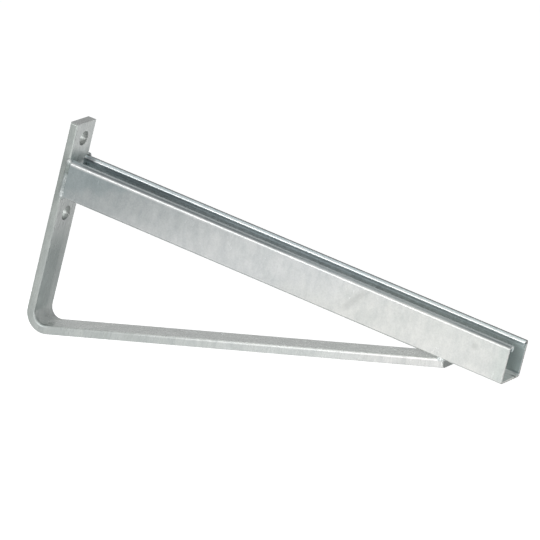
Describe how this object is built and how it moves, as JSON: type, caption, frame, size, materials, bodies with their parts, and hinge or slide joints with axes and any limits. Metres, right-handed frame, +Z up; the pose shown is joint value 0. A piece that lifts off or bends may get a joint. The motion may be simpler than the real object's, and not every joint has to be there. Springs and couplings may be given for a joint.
{
  "type": "channel support bracket",
  "caption": "Wall bracket with a lipped channel arm, slot upward, held by a folded flat bar that forms the bolted wall plate and the diagonal brace; hot-dip galvanised.",
  "frame": {"origin": "on the wall face, on the bracket's centreline, level with the top of the channel arm", "axes": "+X out of the wall along the arm, +Y across the bracket, +Z up"},
  "size_m": [0.5395, 0.0456, 0.2303],
  "materials": {
    "galvanised_channel": "hot-dip galvanised cold-formed strip, faint mottling and satin sheen",
    "galvanised_bar": "hot-dip galvanised flat bar, duller, streaky zinc",
    "galvanised_weld": "hot-dip galvanised weld bead, lumpy"
  },
  "bodies": {
    "root": {"channel_arm": "galvanised_channel", "folded_bar": "galvanised_bar", "wall_weld": "galvanised_weld", "brace_weld": "galvanised_weld"}
  },
  "joints": []
}
